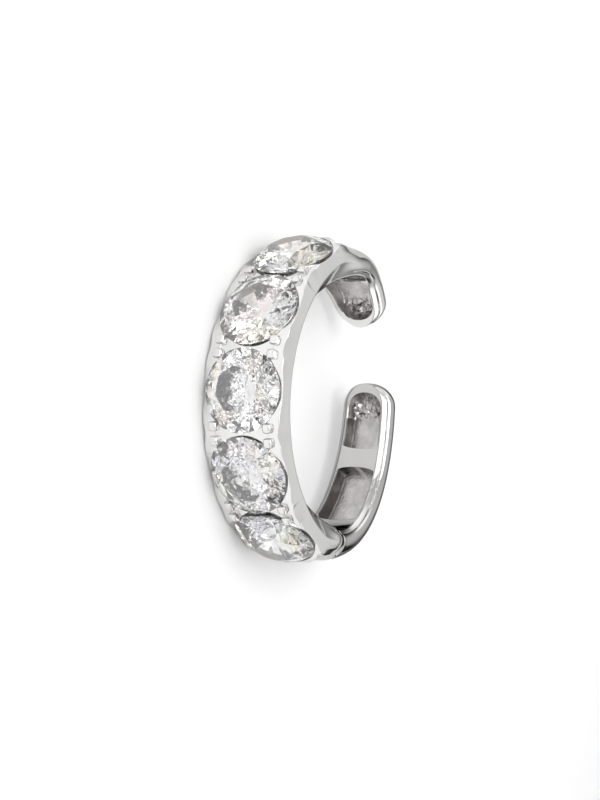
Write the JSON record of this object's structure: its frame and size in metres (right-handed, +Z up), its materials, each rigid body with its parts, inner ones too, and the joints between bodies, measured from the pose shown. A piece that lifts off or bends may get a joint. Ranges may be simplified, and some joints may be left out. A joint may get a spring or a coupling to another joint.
{
  "type": "ear cuff",
  "caption": "Oval open ear cuff of polished white metal with a row of round brilliant-cut stones across the front and one hinged arm.",
  "frame": {"origin": "middle of the cuff's footprint, on the surface that it lies on", "axes": "+Z up, along the axis of the band as it lies on its side; -Y out through the middle stone; +X towards the hinged arm"},
  "size_m": [0.0122, 0.011, 0.0033],
  "materials": {
    "band_metal": "mirror-polished white gold, rough cast texture only inside the pocket",
    "arm_metal": "mirror-polished white gold, rough cast texture only inside the pockets",
    "pin_metal": "plain polished pin",
    "stone": "clear brilliant-cut stone with sharp polished facets"
  },
  "bodies": {
    "front": {"front_band": "band_metal", "hinge_pin": "pin_metal", "stone_1": "stone", "stone_2": "stone", "stone_3": "stone", "stone_4": "stone", "stone_5": "stone"},
    "arm": {"hinged_arm": "arm_metal"}
  },
  "joints": [
    {"name": "arm_hinge", "type": "hinge", "parent": "front", "child": "arm", "pos_m": [0.00563, 0.00094, 0.00166], "axis": [0, 0, -1], "range_deg": [0, 30]}
  ]
}
